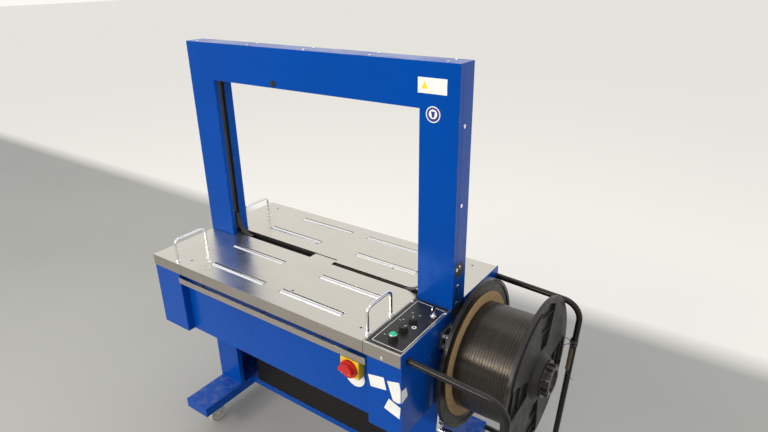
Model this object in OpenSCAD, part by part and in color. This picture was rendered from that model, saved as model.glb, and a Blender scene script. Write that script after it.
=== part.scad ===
// Arch type semi automatic strapping machine.
// Millimetres, +Z up, real size. The front, where the operator stands, faces -Y.
// The arch stands across the table in the plane y = arch_y; the strap reel hangs on the +X end.
// The origin is on the floor at the centre of the machine's outer bounds.

/* [Table] */
// Length of the table and of the arch over its outer faces
table_len = 1096; // [1090:2:1104]
// Depth of the table from the front lip to the rear lip
table_depth = 608; // [596:4:620]
// Height of the work surface above the floor
table_h = 835; // [815:5:855]
// Height of the bent stainless lip around the table top
lip_h = 41; // [38:1:44]

/* [Arch] */
// Clear width inside the arch
arch_open_w = 850; // [844:2:856]
// Clear height inside the arch above the table
arch_open_h = 600; // [400:20:800]
// Thickness of the arch from its front cover to its rear cover
arch_t = 77; // [75:1:80]
// Height of the arch beam
beam_h = 127.5; // [115:2.5:135]

/* [Body] */
// Height of the sheet metal body under the table lip
body_h = 246.5; // [236.5:5:256.5]
// Distance the front panel stands back from the end boxes
panel_setback = 28; // [26:1:32]
// Height of the two stand feet
foot_h = 40; // [36:2:46]
// Height of the start bar's face
start_bar_h = 22; // [18:1:26]

/* [Table rollers] */
// Radius of the table rollers
roller_r = 12; // [11.5:0.25:12.5]
// Length of each table roller
roller_len = 254; // [246:2:256]
// How far the rollers stand above the table
roller_rise = 2; // [1.5:0.5:3]

/* [Reel] */
// Radius of the reel's outer flange
flange_r = 250; // [240:2:254]
// Width of the strap winding between the flanges
coil_w = 190; // [185:1:191]
// Radius of the strap wound on the reel
coil_r = 175; // [125:1:195]
// Radius of the tubes that guard the reel
guard_r = 10; // [8:1:11]

/* [Casters] */
// Radius of the caster wheels
wheel_r = 37.5; // [32:0.5:38]
// Overall height of a caster
caster_h = 105; // [102:1:110]

/* [Hidden] */
$fn = 64;

// Colours
blue = [0.02, 0.25, 0.66];
steel = [0.74, 0.73, 0.70];
bright = [0.85, 0.86, 0.87];
black = [0.05, 0.05, 0.06];
dark = [0.22, 0.22, 0.23];
white = [0.93, 0.93, 0.91];
yellow = [0.95, 0.78, 0.05];
red = [0.80, 0.06, 0.05];
green = [0.10, 0.55, 0.22];
tan_board = [0.71, 0.60, 0.42];
cream = [0.82, 0.81, 0.76];

// Table and body
x_end = table_len / 2;
y_front = -table_depth / 2 - 12;
y_rear = table_depth / 2 - 12;
sheet = 3;
top_t = 2;
lip_z = table_h - lip_h;
frame_top = table_h - top_t - 0.5;
body_top = lip_z - 0.5;
floor_z = body_top - body_h;
box_front = y_front + 4;
panel_y = box_front + panel_setback;
seam_left = -410;
seam_right = 428;
track_z = 806;
head_gap = 54;

// Arch
leg_x = arch_open_w / 2;
arch_y0 = -arch_t / 2;
arch_y1 = arch_t / 2;
arch_top = table_h + arch_open_h + beam_h;
beam_z = table_h + arch_open_h;
slot_y0 = -20;
slot_y1 = 6;
skin = 2.5;
ramp_r = 70;

// Table plates
plate_front_y = -15;
plate_rear_y = 24;
plate_rear_right_y = 5;
console_x = 419;

// Rollers
roller_z = table_h + roller_rise - roller_r;
journal_r = 4;
slot_half = roller_len / 2 + 1.5;
outer_left = -172;
outer_right = 160;
inner_left = -220;
inner_right = 208;
row_y = [-242, -99, 98, 230];

// Start bar
bar_z = table_h - 78;
bar_pins = [-300, 0, 250];

// Console controls
face_z = table_h + 1.5;
button_pos = [487, -265];
tension_pos = [487, -213];
timer_pos = [486, -160];
key_pos = [526, -112];
stem_r = 3;

// Main switch
switch_pos = [363.5, table_h - 119];
switch_front = panel_y - 28;

// Stands and casters
stand_w = x_end - leg_x;
foot_z = caster_h;
foot_half = 290;
column_half = 100;
caster_x = x_end - stand_w / 2;
caster_y = 222;
trail = 22;

// Reel
reel_y = 50;
reel_z = table_h - 190;
axle_r = 12.5;
reel_x = x_end + 44;
inner_flange_r = flange_r - 4;
board_r = flange_r - 44;
coil_x = reel_x + 10;
outer_x = coil_x + coil_w;
outer_t = 10;
web_t = 14;
web_r = flange_r - 22;
boss_t = 33;
core_r = 101;
nut_x = outer_x + boss_t + 1;

// Brake arm
arm_y = -85;
arm_z = table_h - 70;
arm_len = 322;
arm_lean = 7.2;

// Guard tubes: square hoops tilted a little, from the side panel round the reel to the foot
guard_y = 284;
guard_z = table_h - 32;
guard_low = foot_z + 20;
guard_bend = 60;
guard_tilt = 3.2;
guard_out = 238;
guard_drop = (guard_z - guard_low) * cos(guard_tilt);
guard_steps = [guard_out, guard_drop - 2 * guard_bend,
    guard_out - guard_drop * tan(guard_tilt) - 0.8];

// Sealing head
feed_r = 25;
feed_z = 735;
pinch_r = 18;
pinch_z = feed_z - feed_r - pinch_r - 0.6;

// Outer bounds, used to put the origin at their centre on the floor
screw_head = 2.2;
x_min = -x_end - screw_head;
x_max = x_end + 0.6 + guard_out * cos(guard_tilt) + guard_bend * (1 - sin(guard_tilt)) + guard_r;
y_min = switch_front - 24;
y_max = y_rear + 14;
mid_x = (x_min + x_max) / 2;
mid_y = (y_min + y_max) / 2;

// Moves the machine from the arch's own axes to the part's origin.
module place() {
    translate([-mid_x, -mid_y, 0])
        children();
}

// Box given by its two opposite corners.
module block(a, b) {
    translate(a)
        cube(b - a);
}

// Rods along each axis, starting at point p.
module rod_x(p, r, len) {
    translate(p)
        rotate([0, 90, 0])
            cylinder(r = r, h = len);
}

module rod_y(p, r, len) {
    translate(p)
        rotate([-90, 0, 0])
            cylinder(r = r, h = len);
}

module rod_z(p, r, len) {
    translate(p)
        cylinder(r = r, h = len);
}

// Outline in the x-z plane pushed from y0 to y1.
module plate_y(points, y0, y1) {
    translate([0, y1, 0])
        rotate([90, 0, 0])
            linear_extrude(y1 - y0)
                polygon(points);
}

// Outline in the y-z plane pushed from x0 to x1.
module plate_x(points, x0, x1) {
    translate([x0, 0, 0])
        rotate([90, 0, 90])
            linear_extrude(x1 - x0)
                polygon(points);
}

// ---------- Stands ----------

// One welded stand: inverted channel foot and a column open towards the middle; side is -1 left, 1 right.
module stand(side) {
    x0 = side < 0 ? -x_end : leg_x;
    x1 = x0 + stand_w;
    z1 = foot_z + foot_h;
    difference() {
        block([x0, -foot_half, foot_z], [x1, foot_half, z1]);
        block([x0 + sheet, -foot_half + sheet, foot_z - 1],
            [x1 - sheet, foot_half - sheet, z1 - sheet]);
    }
    for (y = [-caster_y, caster_y])
        block([x0 + sheet, y - 45, foot_z], [x1 - sheet, y + 45, foot_z + 4]);
    difference() {
        block([x0, -column_half, z1], [x1, column_half, floor_z]);
        block([x0 + sheet, -column_half + sheet, z1 - 1],
            [x1 - sheet, column_half - sheet, floor_z + 1]);
        block([side < 0 ? x1 - sheet - 1 : x0 - 1, -column_half + 22, z1],
            [side < 0 ? x1 + 1 : x0 + sheet + 1, column_half - 22, floor_z + 1]);
    }
}

module left_stand() {
    color(blue) place() stand(-1);
}

module right_stand() {
    color(blue) place() stand(1);
}

module lower_crossbeam() {
    z0 = foot_z + 15;
    color(blue) place() {
        difference() {
            block([-leg_x, -36, z0], [leg_x, 36, z0 + 24]);
            block([-leg_x - 1, -36 + sheet, z0 - 1], [leg_x + 1, 36 - sheet, z0 + 24 - sheet]);
        }
        for (x = [-leg_x + 16, leg_x - 16])
            rod_y([x, -40, z0 + 12], 6, 4);
    }
}

// Box that stores the slack strap under the body; the strap comes in over its low front wall.
module strap_pool_box() {
    z0 = foot_z + foot_h;
    y0 = -34;
    color(black) place() {
        difference() {
            block([-385, y0, z0], [385, 140, floor_z]);
            block([-382, y0 + sheet, z0 + sheet], [382, 137, floor_z - sheet]);
            block([-382, y0 - 1, z0 + 255], [382, y0 + sheet + 1, floor_z - sheet]);
        }
        for (x = [-128, 128])
            block([x - 1.5, y0 + sheet, z0 + sheet], [x + 1.5, 137, floor_z - sheet]);
    }
}

// ---------- Body ----------

module body_floor() {
    color(blue) place()
        difference() {
            block([-x_end, box_front, floor_z], [x_end - sheet, y_rear, floor_z + sheet]);
            block([seam_left, box_front - 1, floor_z - 1],
                [seam_right, panel_y, floor_z + sheet + 1]);
        }
}

// Welded angle frame that carries the arch, the lift-off plates and the sealing head.
module table_frame() {
    x1 = x_end - 5;
    right = console_x - 3;
    fy = y_front + 5;
    ry = y_rear - 4;
    color(dark) place() {
        block([-x1, fy, frame_top - sheet], [right, fy + 30, frame_top]);
        block([-x1, fy, body_top], [right, fy + sheet, frame_top - sheet]);
        block([-x1, ry - 26, frame_top - sheet], [x1, ry, frame_top]);
        block([-x1, ry - sheet, body_top], [x1, ry, frame_top - sheet]);
        for (s = [-1, 1]) {
            inner = s * (x1 - 26);
            a = min(inner, s * x1);
            b = max(inner, s * x1);
            y0 = s < 0 ? fy + 30 : 41;
            block([a, 41, frame_top - sheet], [b, ry - 26, frame_top]);
            if (s < 0)
                block([a, y0, frame_top - sheet], [b, -41, frame_top]);
            block([min(s * x1, s * (x1 - sheet)), s < 0 ? fy + sheet : -36, body_top],
                [max(s * x1, s * (x1 - sheet)), ry - sheet, frame_top - sheet]);
            pad0 = min(s * (x1 - sheet), s * (leg_x + 1));
            pad1 = max(s * (x1 - sheet), s * (leg_x + 1));
            block([pad0, arch_y0, track_z + 6], [pad1, arch_y1, frame_top]);
            run0 = min(s * head_gap, s * (x1 - sheet));
            run1 = max(s * head_gap, s * (x1 - sheet));
            block([run0, -40, track_z], [run1, 45, track_z + 6]);
        }
    }
}

module left_end_cover() {
    z0 = floor_z + sheet;
    color(blue) place() {
        block([-x_end, box_front, z0], [seam_left, box_front + sheet, body_top]);
        block([-x_end, box_front + sheet, z0], [-x_end + sheet, y_rear - sheet, body_top]);
        block([-x_end, y_rear - sheet, z0], [seam_left, y_rear, body_top]);
        block([seam_left - sheet, box_front + sheet, z0], [seam_left, panel_y + 6, body_top]);
    }
}

module front_panel() {
    z0 = floor_z + sheet;
    color(blue) place()
        difference() {
            union() {
                block([seam_left, panel_y, z0], [seam_right, panel_y + sheet, body_top]);
                for (z = [z0, body_top - sheet])
                    block([seam_left, panel_y + sheet, z], [seam_right, panel_y + 20, z + sheet]);
            }
            for (x = bar_pins)
                rod_y([x, panel_y - 1, bar_z + start_bar_h / 2], 4.06, sheet + 2);
        }
}

module right_cabinet() {
    z0 = floor_z + sheet;
    color(blue) place() {
        block([seam_right, box_front, z0], [x_end - sheet, box_front + sheet, body_top]);
        block([seam_right, box_front + sheet, z0],
            [seam_right + sheet, panel_y + 20, body_top]);
        block([seam_right + sheet, box_front + sheet, body_top - sheet],
            [x_end - sheet, -60, body_top]);
    }
}

module right_side_panel() {
    color(blue) place()
        plate_x([[y_front, floor_z], [y_rear, floor_z], [y_rear, table_h + 4],
            [41, table_h + 4], [41, body_top], [-41, body_top], [-41, table_h - 1],
            [y_front, table_h - 1]], x_end - sheet, x_end);
}

module rear_panel() {
    z0 = floor_z + sheet;
    color(blue) place()
        difference() {
            block([seam_left, y_rear - sheet, z0], [x_end - sheet, y_rear, body_top]);
            for (i = [0 : 5])
                block([-160, y_rear - sheet - 1, z0 + 60 + 22 * i],
                    [160, y_rear + 1, z0 + 66 + 22 * i]);
            rod_y([355, y_rear - sheet - 1, z0 + 50], 11.5, sheet + 2);
        }
}

// ---------- Arch ----------

// Inverted U between two nested outlines, inset by d0 at the outside and d1 at the inside.
function arch_outline(d0, d1) = [[-x_end + d0, frame_top], [-x_end + d0, arch_top - d0],
    [x_end - d0, arch_top - d0], [x_end - d0, frame_top], [leg_x + d1, frame_top],
    [leg_x + d1, beam_z + d1], [-leg_x - d1, beam_z + d1], [-leg_x - d1, frame_top]];

// Band of the inverted U between two distances from the inner opening.
function arch_band(d0, d1) = [[-leg_x - d1, frame_top], [-leg_x - d1, beam_z + d1],
    [leg_x + d1, beam_z + d1], [leg_x + d1, frame_top], [leg_x + d0, frame_top],
    [leg_x + d0, beam_z + d0], [-leg_x - d0, beam_z + d0], [-leg_x - d0, frame_top]];

// Band of the inverted U along its outer edge.
function arch_rim(d) = [[-x_end, frame_top], [-x_end, arch_top], [x_end, arch_top],
    [x_end, frame_top], [x_end - d, frame_top], [x_end - d, arch_top - d],
    [-x_end + d, arch_top - d], [-x_end + d, frame_top]];

module arch_front_cover() {
    color(blue) place() {
        plate_y(arch_outline(0, 0), arch_y0, arch_y0 + skin);
        plate_y(arch_rim(skin), arch_y0 + skin, slot_y0);
        plate_y(arch_band(0, skin), arch_y0 + skin, slot_y0);
    }
}

module arch_rear_cover() {
    color(blue) place() {
        plate_y(arch_outline(0, 0), arch_y1 - skin, arch_y1);
        plate_y(arch_rim(skin), slot_y0, arch_y1 - skin);
        plate_y(arch_band(0, skin), slot_y1, arch_y1 - skin);
    }
}

// Black strap guide: recessed channel round the arch and the two ramps onto the table.
module arch_strap_track() {
    color(black) place() {
        plate_y(arch_band(8, 12), slot_y0, slot_y1);
        plate_y(arch_band(3, 8), slot_y0, slot_y0 + 3);
        plate_y(arch_band(3, 8), slot_y1 - 3, slot_y1);
        for (s = [-1, 1])
            translate([s * (leg_x - ramp_r), 4, table_h + ramp_r])
                rotate([90, 0, 0])
                    rotate([0, 0, s < 0 ? 180 : 270])
                        rotate_extrude(angle = 90)
                            translate([ramp_r, 0])
                                square([5, 17]);
        for (s = [-1, 1])
            block([min(s * (leg_x + 8), s * leg_x), -13, table_h + ramp_r - 2],
                [max(s * (leg_x + 8), s * leg_x), 4, table_h + ramp_r + 12]);
        plate_y([[-146, beam_z + 15], [-131, beam_z + 3], [-116, beam_z + 15],
            [-131, beam_z + 27]], arch_y0 - 2.5, arch_y0);
    }
}

module cover_screws() {
    color(bright) place() {
        for (x = [-502, -250, 0, 250, 502])
            for (y = [-24, 24])
                rod_z([x, y, arch_top], 4.5, screw_head);
        for (s = [-1, 1])
            for (p = [[-8, 8], [-5, 64], [-19, 128], [0, 128], [-8, 330], [-8, 560]])
                rod_x([s < 0 ? x_min : x_end, p.x, table_h + p.y], 6, screw_head);
        for (z = [90, 200, 400])
            rod_y([0, y_rear, floor_z + z / 2], 4, 2);
    }
}

// Blank stickers on the arch, the cabinet and beside the main switch.
module label_plates() {
    t = 0.6;
    z = table_h;
    color(white) place() {
        block([420, arch_y0 - t, z + 643], [510, arch_y0, z + 685]);
        rod_y([469, arch_y0 - t, z + 588], 22.5, t);
        plate_y([[432, z - 109], [486, z - 98], [495, z - 138], [440, z - 148]],
            box_front - t, box_front);
        plate_y([[498, z - 104], [538, z - 93], [544.5, z - 122], [544.5, z - 161],
            [533, z - 166], [517, z - 163]], box_front - t, box_front);
        plate_y([[503, z - 164], [543, z - 179], [539, z - 220], [486, z - 204]],
            box_front - t, box_front);
        plate_x([[y_front + 1, z - 116], [-292, z - 118], [-285, z - 150],
            [y_front + 1, z - 158]], x_end, x_end + t);
        difference() {
            rod_y([361, panel_y - t, z - 168], 36, t);
            block([320, panel_y - 2, z - 151], [400, panel_y + 1, z - 120]);
        }
        rod_z([504, -183, face_z], 7.5, t);
    }
}

// ---------- Console and main switch ----------

module console_box() {
    x1 = x_end - sheet;
    color(steel) place()
        difference() {
            block([console_x, y_front, body_top], [x1, -41, table_h]);
            block([console_x + top_t, y_front + top_t, body_top - 1],
                [x1 - top_t, -41 - top_t, table_h - top_t]);
            for (p = [button_pos, tension_pos, timer_pos, key_pos])
                rod_z([p.x, p.y, table_h - top_t - 1], stem_r + 0.06, top_t + 2);
        }
}

module console_face() {
    color(black) place()
        difference() {
            union() {
                block([console_x + 3, y_front + 8, table_h], [x_end - 7, -44, face_z]);
                rod_z([button_pos.x, button_pos.y, face_z], 13.8, 17);
                rod_z([key_pos.x, key_pos.y, face_z], 10, 5);
            }
            rod_z([button_pos.x, button_pos.y, face_z], 11.4, 18);
            for (p = [button_pos, tension_pos, timer_pos, key_pos])
                rod_z([p.x, p.y, table_h - 1], stem_r + 0.06, 12);
        }
}

module start_button() {
    color(green) place() {
        rod_z([button_pos.x, button_pos.y, face_z + 9], 11, 10);
        translate([button_pos.x, button_pos.y, face_z + 19])
            cylinder(r1 = 11, r2 = 8, h = 3);
        rod_z([button_pos.x, button_pos.y, table_h - 12], stem_r, 23);
    }
}

// Round control knob with grip flutes and a shaft into the console.
module knob(pos, r, h) {
    z0 = face_z + 0.5;
    difference() {
        union() {
            rod_z([pos.x, pos.y, z0], r + 2, 3);
            rod_z([pos.x, pos.y, z0 + 3], r, h - 3);
        }
        for (i = [0 : 11])
            translate([pos.x, pos.y, z0 + 4])
                rotate([0, 0, 30 * i])
                    translate([r + 1, 0, 0])
                        cylinder(r = 1.8, h = h, $fn = 16);
    }
    rod_z([pos.x, pos.y, table_h - 12], stem_r, z0 - table_h + 12);
}

module tension_knob() {
    color(black) place() knob(tension_pos, 12.5, 16);
}

module timer_knob() {
    color(black) place() knob(timer_pos, 12, 13);
}

// Lock barrel with its key in it.
module key_switch() {
    z0 = face_z + 5.4;
    color(bright) place() {
        rod_z([key_pos.x, key_pos.y, z0], 7.5, 8);
        block([key_pos.x - 1.2, key_pos.y - 4, z0 + 8], [key_pos.x + 1.2, key_pos.y + 4, z0 + 18]);
        rod_x([key_pos.x - 1.2, key_pos.y, z0 + 25], 11, 2.4);
        rod_z([key_pos.x, key_pos.y, table_h - 12], stem_r, z0 - table_h + 12);
    }
}

module switch_housing() {
    w = 33.5;
    h = 31;
    color(yellow) place()
        difference() {
            block([switch_pos.x - w, switch_front, switch_pos.y - h],
                [switch_pos.x + w, panel_y, switch_pos.y + h]);
            rod_y([switch_pos.x, switch_front - 1, switch_pos.y], 5.05, 15);
        }
}

// Round switch knob with a raised half, whose straight edge points at the setting.
module switch_knob() {
    y0 = switch_front - 0.5;
    color(red) place() {
        rod_y([switch_pos.x, y0 - 9, switch_pos.y], 29, 9);
        difference() {
            rod_y([switch_pos.x, y0 - 23.5, switch_pos.y], 25, 15);
            block([switch_pos.x - 30, y0 - 25, switch_pos.y - 30],
                [switch_pos.x + 30, y0 - 9, switch_pos.y - 3]);
        }
        rod_y([switch_pos.x, y0, switch_pos.y], 5, 13);
    }
}

// ---------- Table plates ----------

// Two hanging ears that carry one roller's journals.
module roller_ears(cx, cy) {
    z1 = table_h - top_t;
    for (s = [-1, 1]) {
        x0 = s < 0 ? cx - slot_half - 3 : cx + slot_half;
        difference() {
            block([x0, cy - 9, roller_z - 8], [x0 + 3, cy + 9, z1]);
            rod_x([x0 - 1, cy, roller_z], journal_r + 0.05, 5);
        }
    }
}

module roller_slot(cx, cy) {
    block([cx - slot_half, cy - 12, table_h - top_t - 1],
        [cx + slot_half, cy + 12, table_h + 1]);
}

// Positions of the rollers in the row with the given index.
function row_x(i) = (i == 0 || i == 3) ? [outer_left, outer_right] : [inner_left, inner_right];

module front_plate() {
    z1 = table_h - top_t;
    right = console_x - 1.5;
    notch = -leg_x + 2;
    left = -x_end + 3;
    color(steel) place() {
        difference() {
            translate([0, 0, z1])
                linear_extrude(top_t)
                    polygon([[left, y_front], [right, y_front], [right, plate_front_y],
                        [notch, plate_front_y], [notch, -41], [left, -41]]);
            for (i = [0, 1])
                for (x = row_x(i))
                    roller_slot(x, row_y[i]);
        }
        block([left, y_front, lip_z], [right, y_front + top_t, z1]);
        block([left, y_front + top_t, lip_z + 4], [left + 1.4, -41, z1]);
        for (s = [-1, 1]) {
            a = s < 0 ? notch : 56;
            b = s < 0 ? -56 : right;
            block([a, plate_front_y - 2, 816], [b, plate_front_y, z1]);
        }
        for (i = [0, 1])
            for (x = row_x(i))
                roller_ears(x, row_y[i]);
    }
}

module rear_plate() {
    z1 = table_h - top_t;
    left = -x_end + 3;
    right = x_end - sheet - 0.6;
    notch = leg_x - 2;
    color(steel) place() {
        difference() {
            translate([0, 0, z1])
                linear_extrude(top_t)
                    polygon([[left, 41], [-notch, 41], [-notch, plate_rear_y],
                        [52, plate_rear_y], [52, plate_rear_right_y],
                        [notch, plate_rear_right_y], [notch, 41], [right, 41],
                        [right, y_rear], [left, y_rear]]);
            for (i = [2, 3])
                for (x = row_x(i))
                    roller_slot(x, row_y[i]);
        }
        block([left, y_rear - top_t, lip_z], [right, y_rear, z1]);
        block([left, 41, lip_z + 4], [left + 1.4, y_rear - top_t, z1]);
        block([-notch, plate_rear_y, 816], [-56, plate_rear_y + 2, z1]);
        block([56, plate_rear_right_y, 816], [notch, plate_rear_right_y + 2, z1]);
        for (i = [2, 3])
            for (x = row_x(i))
                roller_ears(x, row_y[i]);
    }
}

// Chrome U handle standing on the table between y0 and y1.
module handle(x, y0, y1) {
    r = 5;
    bend = 18;
    h = 82;
    z0 = table_h;
    for (y = [y0, y1]) {
        rod_z([x, y, z0], r, h - bend);
        rod_z([x, y, z0], 9, 3);
    }
    rod_y([x, y0 + bend, z0 + h], r, y1 - y0 - 2 * bend);
    for (s = [0, 1])
        translate([x, s == 0 ? y0 + bend : y1 - bend, z0 + h - bend])
            rotate([90, 0, 90])
                rotate([0, 0, s == 0 ? 90 : 0])
                    rotate_extrude(angle = 90)
                        translate([bend, 0])
                            circle(r = r);
}

module front_handles() {
    color(bright) place() {
        handle(-420, -300, -170);
        handle(408, -277, -160);
    }
}

module rear_handles() {
    color(bright) place()
        for (x = [-445, 445])
            handle(x, 52, 176);
}

// Table roller: barrel with chamfered ends and two journals, along x.
module roller(cx, cy) {
    half = roller_len / 2;
    color(bright) place()
        translate([cx, cy, roller_z])
            rotate([0, 90, 0])
                rotate_extrude()
                    polygon([[0, -half - 6], [journal_r, -half - 6], [journal_r, -half],
                        [roller_r - 1, -half], [roller_r, 1 - half], [roller_r, half - 1],
                        [roller_r - 1, half], [journal_r, half], [journal_r, half + 6],
                        [0, half + 6]]);
}

module roller_front_outer_left() {
    roller(outer_left, row_y[0]);
}

module roller_front_outer_right() {
    roller(outer_right, row_y[0]);
}

module roller_front_inner_left() {
    roller(inner_left, row_y[1]);
}

module roller_front_inner_right() {
    roller(inner_right, row_y[1]);
}

module roller_rear_inner_left() {
    roller(inner_left, row_y[2]);
}

module roller_rear_inner_right() {
    roller(inner_right, row_y[2]);
}

module roller_rear_outer_left() {
    roller(outer_left, row_y[3]);
}

module roller_rear_outer_right() {
    roller(outer_right, row_y[3]);
}

// Strap channel in the gap between the plates, wide on the left and narrow on the right.
module table_strap_track() {
    z0 = track_z + 6;
    runs = [[-leg_x + 1, -head_gap, -14, 22], [head_gap, leg_x - 1, -13, 4]];
    color(black) place()
        for (r = runs) {
            block([r[0], r[2], z0], [r[1], r[3], z0 + 3]);
            block([r[0], r[2], z0 + 3], [r[1], r[2] + 2, z0 + 16]);
            block([r[0], r[3] - 2, z0 + 3], [r[1], r[3], z0 + 16]);
        }
}

// ---------- Start bar ----------

module start_bar() {
    x0 = seam_left + 2;
    x1 = seam_right - 2;
    y0 = y_front - 2;
    color(steel) place() {
        block([x0, y0, bar_z], [x1, y0 + 2, bar_z + start_bar_h]);
        for (z = [bar_z, bar_z + start_bar_h - 2])
            block([x0, y0 + 2, z], [x1, y0 + 4, z + 2]);
        for (x = bar_pins)
            rod_y([x, y0 + 2, bar_z + start_bar_h / 2], 4, 50);
    }
}

// ---------- Sealing head and feed ----------

module sealing_head_frame() {
    color(dark) place()
        difference() {
            union() {
                for (y = [-45, 62])
                    block([-80, y, 640], [80, y + 8, track_z]);
                block([-80, -37, 640], [80, 62, 648]);
                block([-50, -37, 790], [50, 62, 820]);
            }
            rod_y([0, -50, feed_z], 6.05, 130);
            rod_y([0, -50, pinch_z], 5.05, 130);
            block([-30, -10, 789], [-24, 20, 821]);
        }
}

module anvil_slide() {
    color(bright) place()
        block([-50, -14, 820.6], [50, 22, table_h - top_t - 0.5]);
}

module feed_roller() {
    color(dark) place() {
        rod_y([0, -36, feed_z], feed_r, 97);
        rod_y([0, -44, feed_z], 6, 113);
    }
}

module pinch_roller() {
    color(steel) place() {
        rod_y([0, -36, pinch_z], pinch_r, 97);
        rod_y([0, -44, pinch_z], 5, 113);
    }
}

module drive_motor() {
    color(dark) place() {
        rod_y([0, 70, 720], 62, 14);
        rod_y([0, 84, 720], 55, 140);
        for (i = [0 : 4])
            rod_y([0, 96 + 26 * i, 720], 58, 6);
        rod_y([0, 224, 720], 50, 22);
        block([-30, 110, 770], [30, 190, 798]);
    }
}

// Electrical box with the mains inlet gland through the rear panel.
module control_box() {
    z0 = floor_z + sheet;
    color(dark) place() {
        block([290, 120, z0], [410, y_rear - sheet, z0 + 190]);
        rod_y([355, y_rear - sheet, z0 + 50], 11.4, 8);
        translate([355, y_rear + 5, z0 + 50])
            rotate([-90, 0, 0])
                cylinder(r = 15, h = 5, $fn = 6);
        rod_y([355, y_rear + 10, z0 + 50], 10, 4);
    }
}

// ---------- Reel ----------

// Plates on the side panel with the fixed axle and the brake arm's pivot stud.
module reel_bracket() {
    color(dark) place() {
        block([x_end, reel_y - 60, reel_z - 60], [x_end + 8, reel_y + 60, reel_z + 60]);
        block([x_end, arm_y - 26, arm_z - 30], [x_end + 8, arm_y + 44, arm_z + 26]);
        rod_x([x_end + 8, reel_y, reel_z], 26, 14);
        rod_x([x_end + 22, reel_y, reel_z], axle_r, nut_x + 17 - x_end - 22);
        rod_x([x_end + 8, arm_y, arm_z], 7, 26);
    }
}

// Moulded flange next to the machine: thick rim, thin web and the spigot inside the core.
module reel_inner_flange() {
    color(dark) place()
        difference() {
            union() {
                rod_x([reel_x - 4, reel_y, reel_z], inner_flange_r, 14);
                rod_x([reel_x - 20, reel_y, reel_z], 38, 20);
                rod_x([reel_x + 6, reel_y, reel_z], core_r - 7, 40);
            }
            difference() {
                rod_x([reel_x - 5, reel_y, reel_z], inner_flange_r - 13, 5);
                rod_x([reel_x - 5, reel_y, reel_z], 38, 5);
            }
            difference() {
                rod_x([reel_x + 6, reel_y, reel_z], inner_flange_r - 13, 5);
                rod_x([reel_x + 5, reel_y, reel_z], core_r - 7, 7);
            }
            rod_x([reel_x - 21, reel_y, reel_z], axle_r + 0.05, 70);
            rod_x([reel_x + 12, reel_y, reel_z], core_r - 14, 40);
        }
}

// Cardboard tube and end disc the strap is wound on.
module cardboard_core() {
    x0 = reel_x + 6;
    color(tan_board) place()
        difference() {
            union() {
                rod_x([x0, reel_y, reel_z], board_r, coil_x - x0);
                rod_x([coil_x, reel_y, reel_z], core_r, coil_w);
            }
            rod_x([x0 - 1, reel_y, reel_z], core_r - 7, coil_w + 10);
        }
}

module strap_coil() {
    color(black) place()
        difference() {
            rod_x([coil_x, reel_y, reel_z], coil_r, coil_w);
            rod_x([coil_x - 1, reel_y, reel_z], core_r, coil_w + 2);
        }
}

// Recess of the outer flange, between two of its four broad arms.
module flange_recess() {
    linear_extrude(web_t + 1)
        polygon([[93, -27], [200, -54], [220, -54], [231, -28], [234, 0], [231, 28], [220, 54],
            [200, 54], [93, 27]]);
}

// Moulded flange: rim, four raised arms with ribbed recesses between them, and a tapered boss.
module reel_outer_flange() {
    color(dark) place()
        translate([outer_x, reel_y, reel_z])
            rotate([90, 0, 90]) {
                difference() {
                    union() {
                        cylinder(r = flange_r, h = outer_t, $fn = 96);
                        cylinder(r = web_r, h = web_t, $fn = 96);
                        cylinder(r1 = 82, r2 = 62, h = boss_t);
                        translate([0, 0, -42])
                            cylinder(r = core_r - 7.2, h = 43);
                    }
                    for (i = [0 : 3])
                        rotate([0, 0, 90 * i - 8])
                            translate([0, 0, 3])
                                flange_recess();
                    translate([0, 0, -43])
                        cylinder(r = axle_r + 0.05, h = boss_t + 44);
                    translate([0, 0, -43])
                        cylinder(r = core_r - 14, h = 37);
                }
                for (i = [0 : 3])
                    rotate([0, 0, 90 * i - 8])
                        for (r = [147, 199])
                            translate([r - 1.5, -r * 0.28, 2])
                                cube([3, r * 0.56, 8]);
            }
}

// Castellated star nut on the axle end.
module hub_nut() {
    color(dark) place()
        translate([nut_x, reel_y, reel_z])
            rotate([90, 0, 90])
                difference() {
                    union() {
                        cylinder(r = 59, h = 5);
                        cylinder(r = 44, h = 24);
                        for (i = [0 : 10])
                            rotate([0, 0, 360 / 11 * i])
                                translate([40, -6.5, 0])
                                    cube([11, 13, 22]);
                    }
                    translate([0, 0, 18])
                        cylinder(r = 35, h = 7);
                    translate([0, 0, -1])
                        cylinder(r = axle_r + 0.05, h = 26);
                }
}

// Brake arm that hangs from its pivot, with the roller that the strap runs over.
module brake_arm() {
    x0 = x_end + 12;
    color(steel) place()
        difference() {
            union() {
                rod_x([x0, arm_y, arm_z], 14, 18);
                translate([x0, arm_y, arm_z])
                    rotate([-arm_lean, 0, 0])
                        block([0, -11, -arm_len], [6, 11, 0]);
                translate([x0, arm_y, arm_z])
                    rotate([-arm_lean, 0, 0])
                        rod_x([0, 0, -arm_len], 11, 84);
            }
            rod_x([x0 - 1, arm_y, arm_z], 7.05, 30);
        }
}

// Tube that runs along straight steps with a square clockwise bend after each but the last.
module bent_tube(steps, r, bend, i = 0) {
    run = steps[i];
    rotate([0, 90, 0])
        cylinder(r = r, h = run);
    if (i < len(steps) - 1) {
        translate([run, -bend, 0])
            rotate_extrude(angle = 90)
                translate([bend, 0])
                    circle(r = r);
        translate([run + bend, -bend, 0])
            rotate([0, 0, -90])
                bent_tube(steps, r, bend, i + 1);
    }
}

// Two bent tubes round the reel, from the side panel down to the right foot.
module reel_guard() {
    color(black) place()
        for (y = [-guard_y, guard_y])
            translate([x_end + 0.6, y, guard_z])
                rotate([90, 0, 0])
                    rotate([0, 0, -guard_tilt])
                        bent_tube(guard_steps, guard_r, guard_bend);
}

// ---------- Casters ----------

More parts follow.
